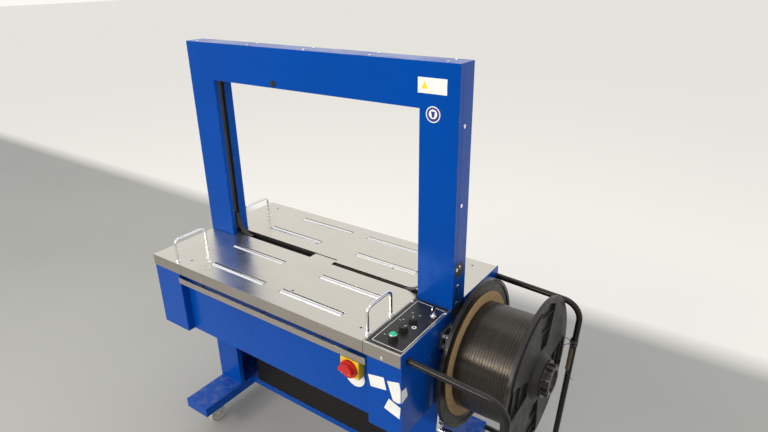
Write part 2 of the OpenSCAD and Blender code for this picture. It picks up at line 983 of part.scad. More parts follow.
module caster_fork(cx, cy) {
    arm_x = 16;
    color(bright) place()
        translate([cx, cy, 0]) {
            rod_z([0, 0, caster_h - 9], 24, 8.6);
            block([-arm_x - 3, -20, caster_h - 19], [arm_x + 3, trail + 18, caster_h - 9]);
            for (s = [-1, 1])
                plate_x([[-18, caster_h - 19], [trail - 11, wheel_r - 11],
                    [trail + 11, wheel_r - 11], [trail + 18, caster_h - 19]],
                    s < 0 ? -arm_x - 3 : arm_x, s < 0 ? -arm_x : arm_x + 3);
            rod_x([-arm_x - 5, trail, wheel_r], 5, 2 * arm_x + 10);
        }
}

module caster_wheel(cx, cy) {
    color(cream) place()
        translate([cx - 12.5, cy + trail, wheel_r])
            rotate([0, 90, 0])
                rotate_extrude()
                    polygon([[5.05, -1.5], [13, -1.5], [13, 3], [wheel_r - 8, 3],
                        [wheel_r - 6, 0], [wheel_r - 2.5, 0], [wheel_r, 3], [wheel_r, 22],
                        [wheel_r - 2.5, 25], [wheel_r - 6, 25], [wheel_r - 8, 22],
                        [13, 22], [13, 26.5], [5.05, 26.5]]);
}

module caster_fork_front_left() {
    caster_fork(-caster_x, -caster_y);
}

module caster_fork_front_right() {
    caster_fork(caster_x, -caster_y);
}

module caster_fork_rear_left() {
    caster_fork(-caster_x, caster_y);
}

module caster_fork_rear_right() {
    caster_fork(caster_x, caster_y);
}

module caster_wheel_front_left() {
    caster_wheel(-caster_x, -caster_y);
}

module caster_wheel_front_right() {
    caster_wheel(caster_x, -caster_y);
}

module caster_wheel_rear_left() {
    caster_wheel(-caster_x, caster_y);
}

module caster_wheel_rear_right() {
    caster_wheel(caster_x, caster_y);
}

// ---------- Nodes ----------

left_stand();
right_stand();
lower_crossbeam();
strap_pool_box();
body_floor();
table_frame();
left_end_cover();
front_panel();
right_cabinet();
right_side_panel();
rear_panel();
arch_front_cover();
arch_rear_cover();
arch_strap_track();
cover_screws();
label_plates();
console_box();
console_face();
switch_housing();
table_strap_track();
sealing_head_frame();
drive_motor();
control_box();
reel_bracket();
reel_guard();
front_plate();
front_handles();
rear_plate();
rear_handles();
roller_front_outer_left();
roller_front_outer_right();
roller_front_inner_left();
roller_front_inner_right();
roller_rear_inner_left();
roller_rear_inner_right();
roller_rear_outer_left();
roller_rear_outer_right();
start_bar();
start_button();
tension_knob();
timer_knob();
key_switch();
switch_knob();
reel_inner_flange();
cardboard_core();
strap_coil();
reel_outer_flange();
hub_nut();
brake_arm();
caster_fork_front_left();
caster_fork_front_right();
caster_fork_rear_left();
caster_fork_rear_right();
caster_wheel_front_left();
caster_wheel_front_right();
caster_wheel_rear_left();
caster_wheel_rear_right();
anvil_slide();
feed_roller();
pinch_roller();
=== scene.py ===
import math
import random

import bmesh
import bpy
from mathutils import Matrix, Vector


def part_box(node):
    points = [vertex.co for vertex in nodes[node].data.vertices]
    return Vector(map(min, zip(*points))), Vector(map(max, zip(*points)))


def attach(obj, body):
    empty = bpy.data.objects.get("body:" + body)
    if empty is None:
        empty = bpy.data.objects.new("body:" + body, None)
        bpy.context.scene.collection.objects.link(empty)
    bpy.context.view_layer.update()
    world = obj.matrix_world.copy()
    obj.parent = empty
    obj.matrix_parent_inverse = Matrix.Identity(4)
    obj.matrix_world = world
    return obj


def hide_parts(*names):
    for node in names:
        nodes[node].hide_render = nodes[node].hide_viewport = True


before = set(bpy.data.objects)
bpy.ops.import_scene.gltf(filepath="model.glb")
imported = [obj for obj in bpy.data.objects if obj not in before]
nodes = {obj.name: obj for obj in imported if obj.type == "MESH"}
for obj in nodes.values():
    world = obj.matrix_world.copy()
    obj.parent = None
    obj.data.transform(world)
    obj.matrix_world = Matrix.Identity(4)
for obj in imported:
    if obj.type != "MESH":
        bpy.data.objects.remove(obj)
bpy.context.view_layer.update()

scene = bpy.context.scene

# ---------------------------------------------------------------- the machine's own millimetres
# x from the arch's centre plane, y from its front-to-back centre, z from the floor, as in the CAD.
X_END = 548.0            # outer face of each stand
FOOT_HALF = 290.0        # half the length of a stand's foot
TABLE = 835.0            # height of the work surface
CONSOLE = TABLE + 1.5    # top of the console's film
ARCH_FACE = -39.1        # front of the arch, with the label plate on it
Y_FRONT = -316.0         # front lip of the table and of the console box
BOX_FRONT = -312.0       # front of the main switch's housing
REEL_Y, REEL_Z = 50.0, 645.0            # the reel's axis
GUARD_X, GUARD_Y, GUARD_Z = 837.5, 284.0, 668.0   # rear guard tube, where its upright starts
GUARD_LEAN = math.tan(math.radians(3.2))          # how far that upright leans inwards
CASTER_X, CASTER_Y = X_END - 61.5, 222.0          # a caster's swivel axis
CASTER_TRAIL, AXLE_Z = 22.0, 37.5                 # its axle behind that axis, and its height
ROUND = 128              # sides of a reel-sized circle

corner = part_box("right_stand")[1] * 1000
SHIFT = Vector((corner.x - X_END, corner.y - FOOT_HALF, 0))


def at(x, y, z):
    """A point given in the machine's millimetres, in the row frame's metres."""
    return (Vector((x, y, z)) + SHIFT) / 1000


# ---------------------------------------------------------------- materials
# socket numbers of the Mix node, which has one set of sockets for each kind of data
MIX_COLOR_A, MIX_COLOR_B, MIX_COLOR_OUT = 6, 7, 2
MIX_FLOAT_A, MIX_FLOAT_B, MIX_FLOAT_OUT = 2, 3, 0
WHITE_LIGHT = (1, 1, 1)
DUST = (0.40, 0.42, 0.45)


def darker(color, *keep):
    """The colour times one factor, or times three, one a channel."""
    keep = keep * 3 if len(keep) == 1 else keep
    return tuple(c * k for c, k in zip(color, keep))


class Surface:
    """A procedural material: each call adds one layer of colour, roughness or relief."""

    def __init__(self, name, color, rough, metal=0.0, **fixed):
        self.material = bpy.data.materials.new(name)
        self.material.use_nodes = True
        self.tree = self.material.node_tree
        self.shader = self.tree.nodes["Principled BSDF"]
        self.shader.inputs["Metallic"].default_value = metal
        for key, value in fixed.items():
            self.shader.inputs[key.replace("_", " ")].default_value = value
        self.where = self.new("TexCoord").outputs["Object"]
        self.color = self.value(color)
        self.rough = rough
        self.normal = None

    def new(self, kind, **settings):
        node = self.tree.nodes.new("ShaderNode" + kind)
        for key, value in settings.items():
            setattr(node, key, value)
        return node

    def put(self, socket, value):
        if isinstance(value, bpy.types.NodeSocket):
            self.tree.links.new(value, socket)
        else:
            socket.default_value = value

    def value(self, color):
        return (*color, 1.0) if isinstance(color, tuple) and len(color) == 3 else color

    def noise(self, scale, detail=2.0, stretch=(1, 1, 1), rough=0.5, where=None):
        """Fractal noise with that many cells a metre, squeezed along an axis by stretch."""
        place = self.new("Mapping")
        self.put(place.inputs["Vector"], where or self.where)
        place.inputs["Scale"].default_value = stretch
        node = self.new("TexNoise")
        self.put(node.inputs["Vector"], place.outputs[0])
        node.inputs["Scale"].default_value = scale
        node.inputs["Detail"].default_value = detail
        node.inputs["Roughness"].default_value = rough
        return node.outputs[0]

    def span(self, value, low, high, to_low=0.0, to_high=1.0):
        node = self.new("MapRange")
        for name, v in (("Value", value), ("From Min", low), ("From Max", high),
                        ("To Min", to_low), ("To Max", to_high)):
            self.put(node.inputs[name], v)
        return node.outputs[0]

    def times(self, a, b):
        node = self.new("Math", operation="MULTIPLY")
        self.put(node.inputs[0], a)
        self.put(node.inputs[1], b)
        return node.outputs[0]

    def tint(self, mask, color):
        """Lays color over what is there, where mask is 1."""
        node = self.new("Mix", data_type="RGBA")
        self.put(node.inputs[0], mask)
        self.put(node.inputs[MIX_COLOR_A], self.color)
        self.put(node.inputs[MIX_COLOR_B], self.value(color))
        self.color = node.outputs[MIX_COLOR_OUT]
        return self

    def roughen(self, mask, rough):
        node = self.new("Mix", data_type="FLOAT")
        self.put(node.inputs[0], mask)
        self.put(node.inputs[MIX_FLOAT_A], self.rough)
        self.put(node.inputs[MIX_FLOAT_B], rough)
        self.rough = node.outputs[MIX_FLOAT_OUT]
        return self

    def relief(self, height, depth):
        """Bump of that depth in millimetres."""
        node = self.new("Bump")
        node.inputs["Distance"].default_value = depth / 1000
        self.put(node.inputs["Height"], height)
        if self.normal:
            self.put(node.inputs["Normal"], self.normal)
        self.normal = node.outputs[0]
        return self

    def edges(self, radius, low=0.02, high=0.2):
        """1 on edges, where rubbing and painted edge highlights go: where a normal rounded over
        radius differs from the flat one.
        """
        bevel = self.new("Bevel", samples=4)
        bevel.inputs["Radius"].default_value = radius / 1000
        flat = self.new("NewGeometry").outputs["Normal"]
        dot = self.new("VectorMath", operation="DOT_PRODUCT")
        self.put(dot.inputs[0], bevel.outputs[0])
        self.put(dot.inputs[1], flat)
        return self.span(dot.outputs["Value"], 1 - low, 1 - high)

    def upward(self, low=0.6, high=0.95):
        """1 where the surface looks up."""
        split = self.new("SeparateXYZ")
        self.put(split.inputs[0], self.new("NewGeometry").outputs["Normal"])
        return self.span(split.outputs[2], low, high)

    def done(self):
        self.put(self.shader.inputs["Base Color"], self.color)
        self.put(self.shader.inputs["Roughness"], self.rough)
        if self.normal:
            self.put(self.shader.inputs["Normal"], self.normal)
        return self.material


def painted(name, color, dark, rough, dust=0.25, chip=(0.32, 0.36, 0.42), shine=WHITE_LIGHT,
            level=0.5):
    """Sprayed sheet metal: slight orange peel, uneven tone, dust on top faces, worn edges."""
    s = Surface(name, color, rough, Specular_Tint=(*shine, 1.0), Specular_IOR_Level=level)
    s.tint(s.span(s.noise(2.6, 3), 0.35, 0.7), dark)
    s.tint(s.times(s.upward(), s.span(s.noise(34, 6), 0.45, 0.8, 0.02, dust)), DUST)
    s.tint(s.times(s.edges(1.4), s.span(s.noise(60, 5), 0.5, 0.62)), chip)
    s.roughen(s.span(s.noise(11, 5), 0.4, 0.75), rough + 0.14)
    s.relief(s.noise(420, 1), 0.05)
    s.relief(s.noise(5, 1), 0.9)
    return s.done()


def brushed(name, color, rough, stretch, smear=0.12):
    """Brushed steel: fine lines along the axis that stretch leaves long, and soft smears.
    Upright faces are painted a little darker than the ones that look up: a painted reflection of
    the darker surroundings."""
    s = Surface(name, color, rough, metal=1.0)
    # painted reflection: faces that do not look up are darkened
    s.tint(s.upward(0.75, 0.25), darker(color, 0.60, 0.56, 0.55))
    grain = s.noise(1.0, 4, stretch, 0.7)
    s.tint(s.span(grain, 0.3, 0.72, 0.0, 0.55), darker(color, 0.8))
    s.tint(s.span(s.noise(7, 4), 0.5, 0.8, 0, 0.3), darker(color, 0.82))
    s.roughen(s.span(grain, 0.3, 0.7), rough + 0.1)
    s.roughen(s.span(s.noise(9, 5), 0.42, 0.75), rough + smear)
    s.relief(grain, 0.03)
    return s.done()


def polished(name, color, rough, stretch=(1, 1, 1), depth=0.006):
    """Chrome or bright steel with faint turning lines and fingerprints."""
    s = Surface(name, color, rough, metal=1.0)
    s.tint(s.span(s.noise(60, 4), 0.5, 0.8, 0, 0.25), darker(color, 0.8))
    s.roughen(s.span(s.noise(38, 4), 0.45, 0.7), rough + 0.10)
    s.relief(s.noise(900, 2, stretch), depth)
    return s.done()


def moulded(name, color, rough, grain=520, depth=0.05, edge_wear_and_highlight=(0.2, 0.2, 0.2), worn=0.5,
            level=0.5):
    """Moulded plastic with a fine spark-eroded grain, lighter on its edges: rubbed there, and on
    the hub nut a painted highlight.
    """
    s = Surface(name, color, rough, Specular_IOR_Level=level)
    s.tint(s.span(s.noise(24, 4), 0.4, 0.75, 0, 0.5), darker(color, 0.7))
    # edge tint: rubbed edges on most plastics, a painted highlight on the hub nut's teeth
    s.tint(s.times(s.edges(1.2), s.span(s.noise(80, 4), 0.4, 0.7, 0, worn)), edge_wear_and_highlight)
    s.roughen(s.span(s.noise(30, 4), 0.42, 0.7), min(1.0, rough + 0.18))
    s.relief(s.noise(grain, 2), depth)
    return s.done()


def around_reel(s):
    """Object coordinates turned into (x, distance from the reel's axis, angle)."""
    shift = s.new("VectorMath", operation="SUBTRACT")
    s.put(shift.inputs[0], s.where)
    shift.inputs[1].default_value = at(0, REEL_Y, REEL_Z)
    split = s.new("SeparateXYZ")
    s.put(split.inputs[0], shift.outputs[0])
    far = s.new("VectorMath", operation="LENGTH")
    flat = s.new("CombineXYZ")
    s.put(flat.inputs[1], split.outputs[1])
    s.put(flat.inputs[2], split.outputs[2])
    s.put(far.inputs[0], flat.outputs[0])
    turn = s.new("Math", operation="ARCTAN2")
    s.put(turn.inputs[0], split.outputs[2])
    s.put(turn.inputs[1], split.outputs[1])
    join = s.new("CombineXYZ")
    s.put(join.inputs[0], split.outputs[0])
    s.put(join.inputs[1], far.outputs["Value"])
    s.put(join.inputs[2], turn.outputs[0])
    return join.outputs[0]


def strap_material():
    """Glossy black polypropylene strap, wound in fine turns."""
    s = Surface("strap", (0.008, 0.0070, 0.0062), 0.22, Specular_IOR_Level=0.50,
                Specular_Tint=(1.0, 0.90, 0.78, 1.0))
    polar = around_reel(s)
    fine = s.noise(1.0, 3, (2200, 60, 0.9), 0.6, polar)
    wide = s.noise(1.0, 2, (130, 0, 0.8), 0.5, polar)
    s.tint(s.span(fine, 0.35, 0.7, 0, 0.7), (0.016, 0.0135, 0.0115))
    s.tint(s.span(wide, 0.45, 0.7, 0, 0.5), (0.020, 0.017, 0.0145))
    s.roughen(s.span(fine, 0.35, 0.65), 0.34)
    s.roughen(s.span(wide, 0.40, 0.65, 0, 0.6), 0.40)
    s.relief(fine, 0.05)
    return s.done()


def board_material():
    """Brown cardboard: fibres, speckles and darker patches."""
    s = Surface("board", (0.50, 0.335, 0.165), 0.86)
    s.tint(s.span(s.noise(60, 5), 0.35, 0.7), (0.40, 0.26, 0.125))
    s.tint(s.span(s.noise(500, 3, (1, 1, 0.3)), 0.55, 0.75, 0, 0.5), (0.60, 0.43, 0.24))
    s.tint(s.span(s.noise(8, 3), 0.55, 0.8, 0, 0.6), (0.26, 0.175, 0.09))
    s.relief(s.noise(300, 4), 0.12)
    return s.done()


def printed(name, color):
    """Gloss film sticker, a little yellowed and scuffed."""
    s = Surface(name, color, 0.38)
    s.tint(s.span(s.noise(30, 4), 0.45, 0.8, 0, 0.5), darker(color, 0.86))
    s.tint(s.span(s.noise(160, 5), 0.62, 0.8, 0, 0.35), (0.45, 0.42, 0.36))
    s.relief(s.noise(45, 2), 0.15)
    return s.done()


BLUE = painted("blue_paint", (0.0006, 0.064, 0.375), (0.0006, 0.056, 0.335), 0.20,
               shine=(0.04, 0.25, 0.85), level=0.36)
BLACK_PAINT = painted("black_paint", (0.006, 0.006, 0.006), (0.012, 0.011, 0.010), 0.38, 0.2,
                      (0.16, 0.15, 0.14), level=0.25)
TUBE = painted("tube_paint", (0.006, 0.006, 0.006), (0.012, 0.0115, 0.010), 0.22, 0.06,
               (0.2, 0.19, 0.17), (0.6, 0.58, 0.54))
STEEL = brushed("stainless", (0.74, 0.71, 0.65), 0.21, (9, 1500, 1500))
STEEL_BAR = brushed("stainless_bar", (0.80, 0.76, 0.71), 0.24, (9, 1500, 1500))
CHROME = polished("chrome", (0.90, 0.90, 0.90), 0.08)
ROLLER = polished("roller_steel", (0.97, 0.97, 0.96), 0.20, (3, 1, 1), 0.003)
ZINC = polished("zinc", (0.78, 0.77, 0.74), 0.30)
CAST = moulded("cast_dark", (0.060, 0.060, 0.064), 0.5, 300, 0.15, (0.3, 0.29, 0.27))
PLASTIC = moulded("black_plastic", (0.012, 0.012, 0.012), 0.36)
GUIDE = moulded("guide_plastic", (0.010, 0.010, 0.010), 0.30)
REEL = moulded("reel_plastic", (0.020, 0.0195, 0.019), 0.36, 300, 0.04, (0.10, 0.10, 0.095),
               0.5, 0.34)
GLOSSY = moulded("reel_gloss", (0.010, 0.0095, 0.009), 0.20, 240, 0.03, (0.10, 0.09, 0.08),
                 0.6, 0.26)
# painted highlight: the light brown edge tint, at 0.8, stands in for glints on the nut's teeth
NUT = moulded("nut_plastic", (0.022, 0.018, 0.013), 0.14, 240, 0.02, (0.42, 0.36, 0.27),
              0.8, 0.9)
PANEL = moulded("console_film", (0.016, 0.016, 0.0155), 0.34, 700, 0.03)
WHITE = printed("label_white", (0.86, 0.86, 0.84))
SIGN_BLUE = printed("sign_blue", (0.012, 0.03, 0.26))
SIGN_YELLOW = printed("sign_yellow", (0.82, 0.72, 0.02))
YELLOW = moulded("yellow_plastic", (0.84, 0.58, 0.008), 0.34, 500, 0.03, (0.9, 0.7, 0.1), 0.3)
RED = moulded("red_plastic", (0.58, 0.012, 0.010), 0.28, 500, 0.03, (0.75, 0.08, 0.05), 0.4)
GREEN = moulded("green_plastic", (0.004, 0.56, 0.26), 0.22, 300, 0.02, (0.1, 0.7, 0.4), 0.3)
TREAD = moulded("caster_tread", (0.50, 0.49, 0.43), 0.6, 200, 0.1, (0.3, 0.29, 0.25), 0.5)
TAPE = moulded("tie_tape", (0.16, 0.115, 0.075), 0.55, 200, 0.2, (0.4, 0.33, 0.25), 0.5)
STRAP = strap_material()
BOARD = board_material()


# ---------------------------------------------------------------- CAD nodes
MERGE = 0.00002          # metres between points that are one
FLAT = 0.8               # degrees between faces that are one
SHARP = 35               # degrees at an edge that gets rounded


def refine(names, material, bevel=0.8, segments=2):
    """Gives CAD nodes their material and rounds their sharp edges by bevel millimetres."""
    for name in names.split():
        o = nodes[name]
        o.data.materials.clear()
        o.data.materials.append(material)
        if not bevel:
            continue
        weld = o.modifiers.new("weld", "WELD")
        weld.merge_threshold = MERGE
        flat = o.modifiers.new("flat", "DECIMATE")
        flat.decimate_type = "DISSOLVE"
        flat.angle_limit = math.radians(FLAT)
        edge = o.modifiers.new("edge", "BEVEL")
        edge.width = bevel / 1000
        edge.segments = segments
        edge.limit_method = "ANGLE"
        edge.angle_limit = math.radians(SHARP)
        edge.use_clamp_overlap = True
        normals = o.modifiers.new("normals", "WEIGHTED_NORMAL")
        normals.keep_sharp = True


def named(start):
    """The names of all CAD nodes with that start."""
    return " ".join(n for n in nodes if n.startswith(start))


refine("left_stand right_stand lower_crossbeam left_end_cover right_cabinet", BLUE, 1.2)
refine("body_floor front_panel rear_panel right_side_panel", BLUE, 0.9)
refine("arch_front_cover arch_rear_cover", BLUE, 1.1)
refine("strap_pool_box", BLACK_PAINT, 0.8)
refine("reel_guard", TUBE, 0)
refine("table_frame sealing_head_frame drive_motor reel_bracket", CAST, 0.8)
refine("feed_roller", CAST, 0.6)
refine("arch_strap_track table_strap_track", GUIDE, 0.4)
refine("control_box tension_knob timer_knob", PLASTIC, 0.5)
refine("hub_nut", NUT, 1.0)
refine("console_face", PANEL, 0.5)
refine("label_plates", WHITE, 0)
refine("console_box front_plate rear_plate", STEEL, 1.9, 4)
refine("anvil_slide pinch_roller", STEEL, 0.6)
refine("start_bar", STEEL_BAR, 1.6, 4)
refine("front_handles rear_handles", CHROME, 0)
refine("key_switch cover_screws", CHROME, 0.4)
refine(named("roller_"), ROLLER, 0)
refine("switch_housing", YELLOW, 1.6, 3)
refine("switch_knob", RED, 1.5, 3)
refine("start_button", GREEN, 0.8)
refine("reel_outer_flange", REEL, 1.6, 3)
refine("reel_inner_flange", GLOSSY, 1.6, 3)
refine("cardboard_core", BOARD, 0.8)
refine("brake_arm", CHROME, 0.8)
refine(named("caster_fork"), ZINC, 0.8)
refine(named("caster_wheel"), TREAD, 0.8)


# ---------------------------------------------------------------- mesh building
class Shape:
    """A mesh being built in the machine's millimetres."""

    def __init__(self):
        self.bm = bmesh.new()

    def solid(self, rings, closed=False, caps=True):
        """Skins rings of points; closed joins the last ring to the first."""
        rows = [[self.bm.verts.new(p) for p in ring] for ring in rings]
        pairs = list(zip(rows, rows[1:])) + ([(rows[-1], rows[0])] if closed else [])
        made = []
        for a, b in pairs:
            for i in range(len(a)):
                j = (i + 1) % len(a)
                made.append(self.bm.faces.new((a[i], a[j], b[j], b[i])))
        if caps and not closed:
            made.append(self.bm.faces.new(rows[0][::-1]))
            made.append(self.bm.faces.new(rows[-1]))
        bmesh.ops.recalc_face_normals(self.bm, faces=made)
        return made

    def prism(self, axis, outline, low, high, bevel=0.0):
        """Outline in the two other axes, pushed along axis from low to high."""
        def point(u, v, w):
            p = [u, v]
            p.insert("xyz".index(axis), w)
            return p
        made = self.solid([[point(u, v, w) for u, v in outline] for w in (low, high)])
        self.soften(made, bevel)
        return self

    def block(self, a, b, bevel=0.0):
        outline = [(a[0], a[1]), (b[0], a[1]), (b[0], b[1]), (a[0], b[1])]
        return self.prism("z", outline, a[2], b[2], bevel)

    def soften(self, made, bevel, angle=30):
        if bevel:
            edges = {e for f in made for e in f.edges
                     if e.is_manifold and e.calc_face_angle(0) > math.radians(angle)}
            bmesh.ops.bevel(self.bm, geom=list(edges), offset=bevel, segments=2,
                            profile=0.5, affect="EDGES", clamp_overlap=True)

    def lathe(self, axis, centre, profile, steps=64, closed=False):
        """Turns a profile of (along, radius) points about an axis through centre."""
        k = "xyz".index(axis)
        rings = []
        for along, radius in profile:
            ring = []
            for i in range(steps):
                t = 2 * math.pi * i / steps
                p = [radius * math.cos(t), radius * math.sin(t)]
                p.insert(k, along)
                ring.append([c + d for c, d in zip(centre, p)])
            rings.append(ring)
        self.solid(rings, closed)
        return self

    def tube(self, path, radius, sides=12):
        """Round bar along a path of points."""
        pts = [Vector(p) for p in path]
        rings = []
        side = None
        for i, p in enumerate(pts):
            way = (pts[min(i + 1, len(pts) - 1)] - pts[max(i - 1, 0)]).normalized()
            if side is None:
                side = way.orthogonal().normalized()
            side = (side - way * side.dot(way)).normalized()
            up = way.cross(side)
            r = radius[i] if isinstance(radius, (list, tuple)) else radius
            rings.append([p + (side * math.cos(2 * math.pi * k / sides)
                               + up * math.sin(2 * math.pi * k / sides)) * r
                          for k in range(sides)])
        self.solid(rings)
        return self

    def done(self, name, body, material, slot, replaces=(), smooth=32):
        for v in self.bm.verts:
            v.co = (v.co + SHIFT) / 1000
        mesh = bpy.data.meshes.new(name)
        self.bm.to_mesh(mesh)
        self.bm.free()
        mesh.materials.append(material)
        mesh.polygons.foreach_set("use_smooth", [True] * len(mesh.polygons))
        mesh.set_sharp_from_angle(angle=math.radians(smooth))
        o = bpy.data.objects.new(name, mesh)
        scene.collection.objects.link(o)
        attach(o, body)
        if replaces:
            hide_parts(*replaces)
        return o


def circle(u, v, r, steps=40, start=0.0, end=360.0):
    full = end - start >= 360
    n = steps if full else steps + 1
    return [(u + r * math.cos(math.radians(start + (end - start) * i / steps)),
             v + r * math.sin(math.radians(start + (end - start) * i / steps))) for i in range(n)]


def rounded(u0, v0, u1, v1, r, steps=5):
    """Rectangle with rounded corners."""
    out = []
    for cu, cv, a in ((u1 - r, v1 - r, 0), (u0 + r, v1 - r, 90), (u0 + r, v0 + r, 180),
                      (u1 - r, v0 + r, 270)):
        out += circle(cu, cv, r, steps, a, a + 90)
    return out


# ---------------------------------------------------------------- floor, light and camera
def softbox(name, power, size, place, aim, color=(1, 0.985, 0.96)):
    """Rectangular lamp at place that looks at aim."""
    light = bpy.data.lights.new(name, "AREA")
    light.shape = "RECTANGLE"
    light.size, light.size_y = size
    light.energy = power
    light.color = color
    o = bpy.data.objects.new(name, light)
    scene.collection.objects.link(o)
    o.location = place
    o.rotation_mode = "QUATERNION"
    o.rotation_quaternion = (Vector(aim) - Vector(place)).to_track_quat("-Z", "Y")


def floor():
    """Matt grey floor that turns pale a metre behind the machine."""
    size = 40
    mesh = bpy.data.meshes.new("floor")
    mesh.from_pydata([(-size, -size, 0), (size, -size, 0), (size, size, 0), (-size, size, 0)],
                     [], [(0, 1, 2, 3)])
    o = bpy.data.objects.new("floor", mesh)
    s = Surface("floor_matt", (0.40, 0.405, 0.39), 0.75)
    s.tint(s.span(s.noise(0.8, 3), 0.4, 0.7, 0, 0.5), (0.36, 0.365, 0.355))
    split = s.new("SeparateXYZ")
    s.put(split.inputs[0], s.where)
    s.tint(s.span(split.outputs[1], 1.40, 1.62), (0.93, 0.915, 0.88))
    mesh.materials.append(s.done())
    scene.collection.objects.link(o)


def surround():
    """Pale light from all round, a little weaker from above."""
    world = bpy.data.worlds.new("studio")
    scene.world = world
    world.use_nodes = True
    tree = world.node_tree
    back = tree.nodes["Background"]
    coord = tree.nodes.new("ShaderNodeTexCoord")
    split = tree.nodes.new("ShaderNodeSeparateXYZ")
    ramp = tree.nodes.new("ShaderNodeValToRGB")
    tree.links.new(coord.outputs["Generated"], split.inputs[0])
    tree.links.new(split.outputs[2], ramp.inputs[0])
    tree.links.new(ramp.outputs[0], back.inputs[0])
    stops = ramp.color_ramp.elements
    stops[0].position, stops[0].color = 0.0, (1.0, 0.975, 0.94, 1)
    stops[1].position, stops[1].color = 1.0, (0.72, 0.72, 0.72, 1)
    mid = stops.new(0.35)
    mid.color = (0.98, 0.965, 0.93, 1)
    back.inputs[1].default_value = 0.98


def photographer():
    """Camera fitted to the photograph."""
    camera = bpy.data.cameras.new("camera")
    camera.sensor_width = 36
    camera.lens = 26.876
    camera.clip_start, camera.clip_end = 0.05, 200
    o = bpy.data.objects.new("camera", camera)
    scene.collection.objects.link(o)
    right = Vector((0.81842518, 0.57443674, -0.01423538))
    down = Vector((0.21641079, -0.33109041, -0.91844734))
    ahead = Vector((-0.5323031, 0.74859974, -0.39528704))
    turn = Matrix((right, -down, -ahead)).transposed()
    place = at(1241.538, -1360.615, TABLE + 949.381)
    o.matrix_world = Matrix.Translation(place) @ turn.to_4x4()
    scene.camera = o
    scene.view_settings.view_transform = "Standard"
    scene.view_settings.look = "None"


floor()
surround()
softbox("key", 34, (2.4, 1.6), (-1.8, -3.4, 3.6), (0, 0, 0.8))
softbox("top", 26, (3.4, 2.2), (0.4, 0.6, 4.4), (0, 0, 0))
softbox("strip", 62, (2.2, 0.34), (-0.75, -3.4, 2.25), (0.53, 0.06, 0.65), (1, 0.90, 0.78))
photographer()

# ---------------------------------------------------------------- signs on the arch
def sign(name, outline, low, high, material, slot):
    """Printed shape on the arch, between two heights in mm above the paint."""
    s = Shape()
    s.prism("y", [(x, TABLE + z) for x, z in outline], ARCH_FACE - high, ARCH_FACE - low)
    s.done(name, "frame", material, slot)


sign("arch_sign_triangle", [(430, 655), (452, 655), (441, 675)], 0, 0.25,
     SIGN_YELLOW, "yellow_plastic")
sign("arch_sign_disc", circle(469, 588, 19.5), 0, 0.2, SIGN_BLUE, "blue_paint")
sign("arch_sign_emblem", circle(469, 589, 13), 0.2, 0.4, WHITE, "label_white")
sign("arch_sign_emblem_core", [(463, 596), (465.5, 580), (472.5, 580), (475, 596)], 0.4, 0.6,
     SIGN_BLUE, "blue_paint")

# ---------------------------------------------------------------- console
INK = 0.25               # thickness of printed lines


def dome(s, axis, centre, r, h, way=1):
    """Low domed screw head of radius r that stands h proud along the axis."""
    s.lathe(axis, centre, [(0, r), (way * h * 0.45, r * 0.97), (way * h * 0.8, r * 0.72),
                           (way * h, r * 0.35), (way * h, 0.4)], 24)


def line(s, a, b, w, z=CONSOLE):
    """Printed line of width w between two points, on a face at height z."""
    d = Vector((b[0] - a[0], b[1] - a[1])).normalized() * (w / 2)
    n = Vector((-d.y, d.x))
    s.prism("z", [(a[0] - d.x + n.x, a[1] - d.y + n.y), (a[0] - d.x - n.x, a[1] - d.y - n.y),
                  (b[0] + d.x - n.x, b[1] + d.y - n.y), (b[0] + d.x + n.x, b[1] + d.y + n.y)],
            z, z + INK)


s = Shape()
outline = [(436, -54), (538, -62), (539, -298), (437, -296)]
for a, b in zip(outline, outline[1:] + outline[:1]):
    line(s, a, b, 1.7)
for a, b in (((446, -172), (451, -172)), ((452, -165), (457, -164)), ((449, -255), (454, -256)),
             ((483, -122), (489, -121)), ((457, -119), (461, -119))):
    line(s, a, b, 1.6)
s.done("console_outline", "frame", WHITE, "label_white")

s = Shape()
s.lathe("z", (504, -183, CONSOLE), [(0, 2.6), (1.4, 2.6), (1.4, 0.3)], 24)
s.done("ring_label_centre", "frame", PLASTIC, "black_plastic")

s = Shape()
for cx, cy in ((424, -67), (542, -69)):
    dome(s, "z", (cx, cy, CONSOLE), 5.2, 2.6)
dome(s, "y", (482, Y_FRONT, 802), 5.4, 2.4, -1)
s.done("console_screws", "frame", CHROME, "chrome")

for name, cx, cy, r, turn in (("tension_knob", 487, -213, 11, 35),
                              ("timer_knob", 486, -160, 10, 120)):
    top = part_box(name)[1].z * 1000
    s = Shape()
    u, v = math.cos(math.radians(turn)), math.sin(math.radians(turn))
    line(s, (cx + 2 * u, cy + 2 * v), (cx + (r - 1.5) * u, cy + (r - 1.5) * v), 1.6, top)
    s.done(name + "_pointer", name, WHITE, "label_white")

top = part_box("start_button")[1].z * 1000
s = Shape()
s.lathe("z", (487, -265, top - 5.5), [(0, 11.15), (1.2, 11.9), (3.2, 12.0), (4.2, 11.15)],
        40, True)
s.done("start_button_collar", "start_button", CHROME, "chrome")
s = Shape()
s.lathe("z", (526, -112, CONSOLE + 5.4), [(0, 7.55), (0, 9.4), (5.6, 9.0), (7.2, 7.55)], 36, True)
s.done("key_barrel_ring", "key_switch", CHROME, "chrome")

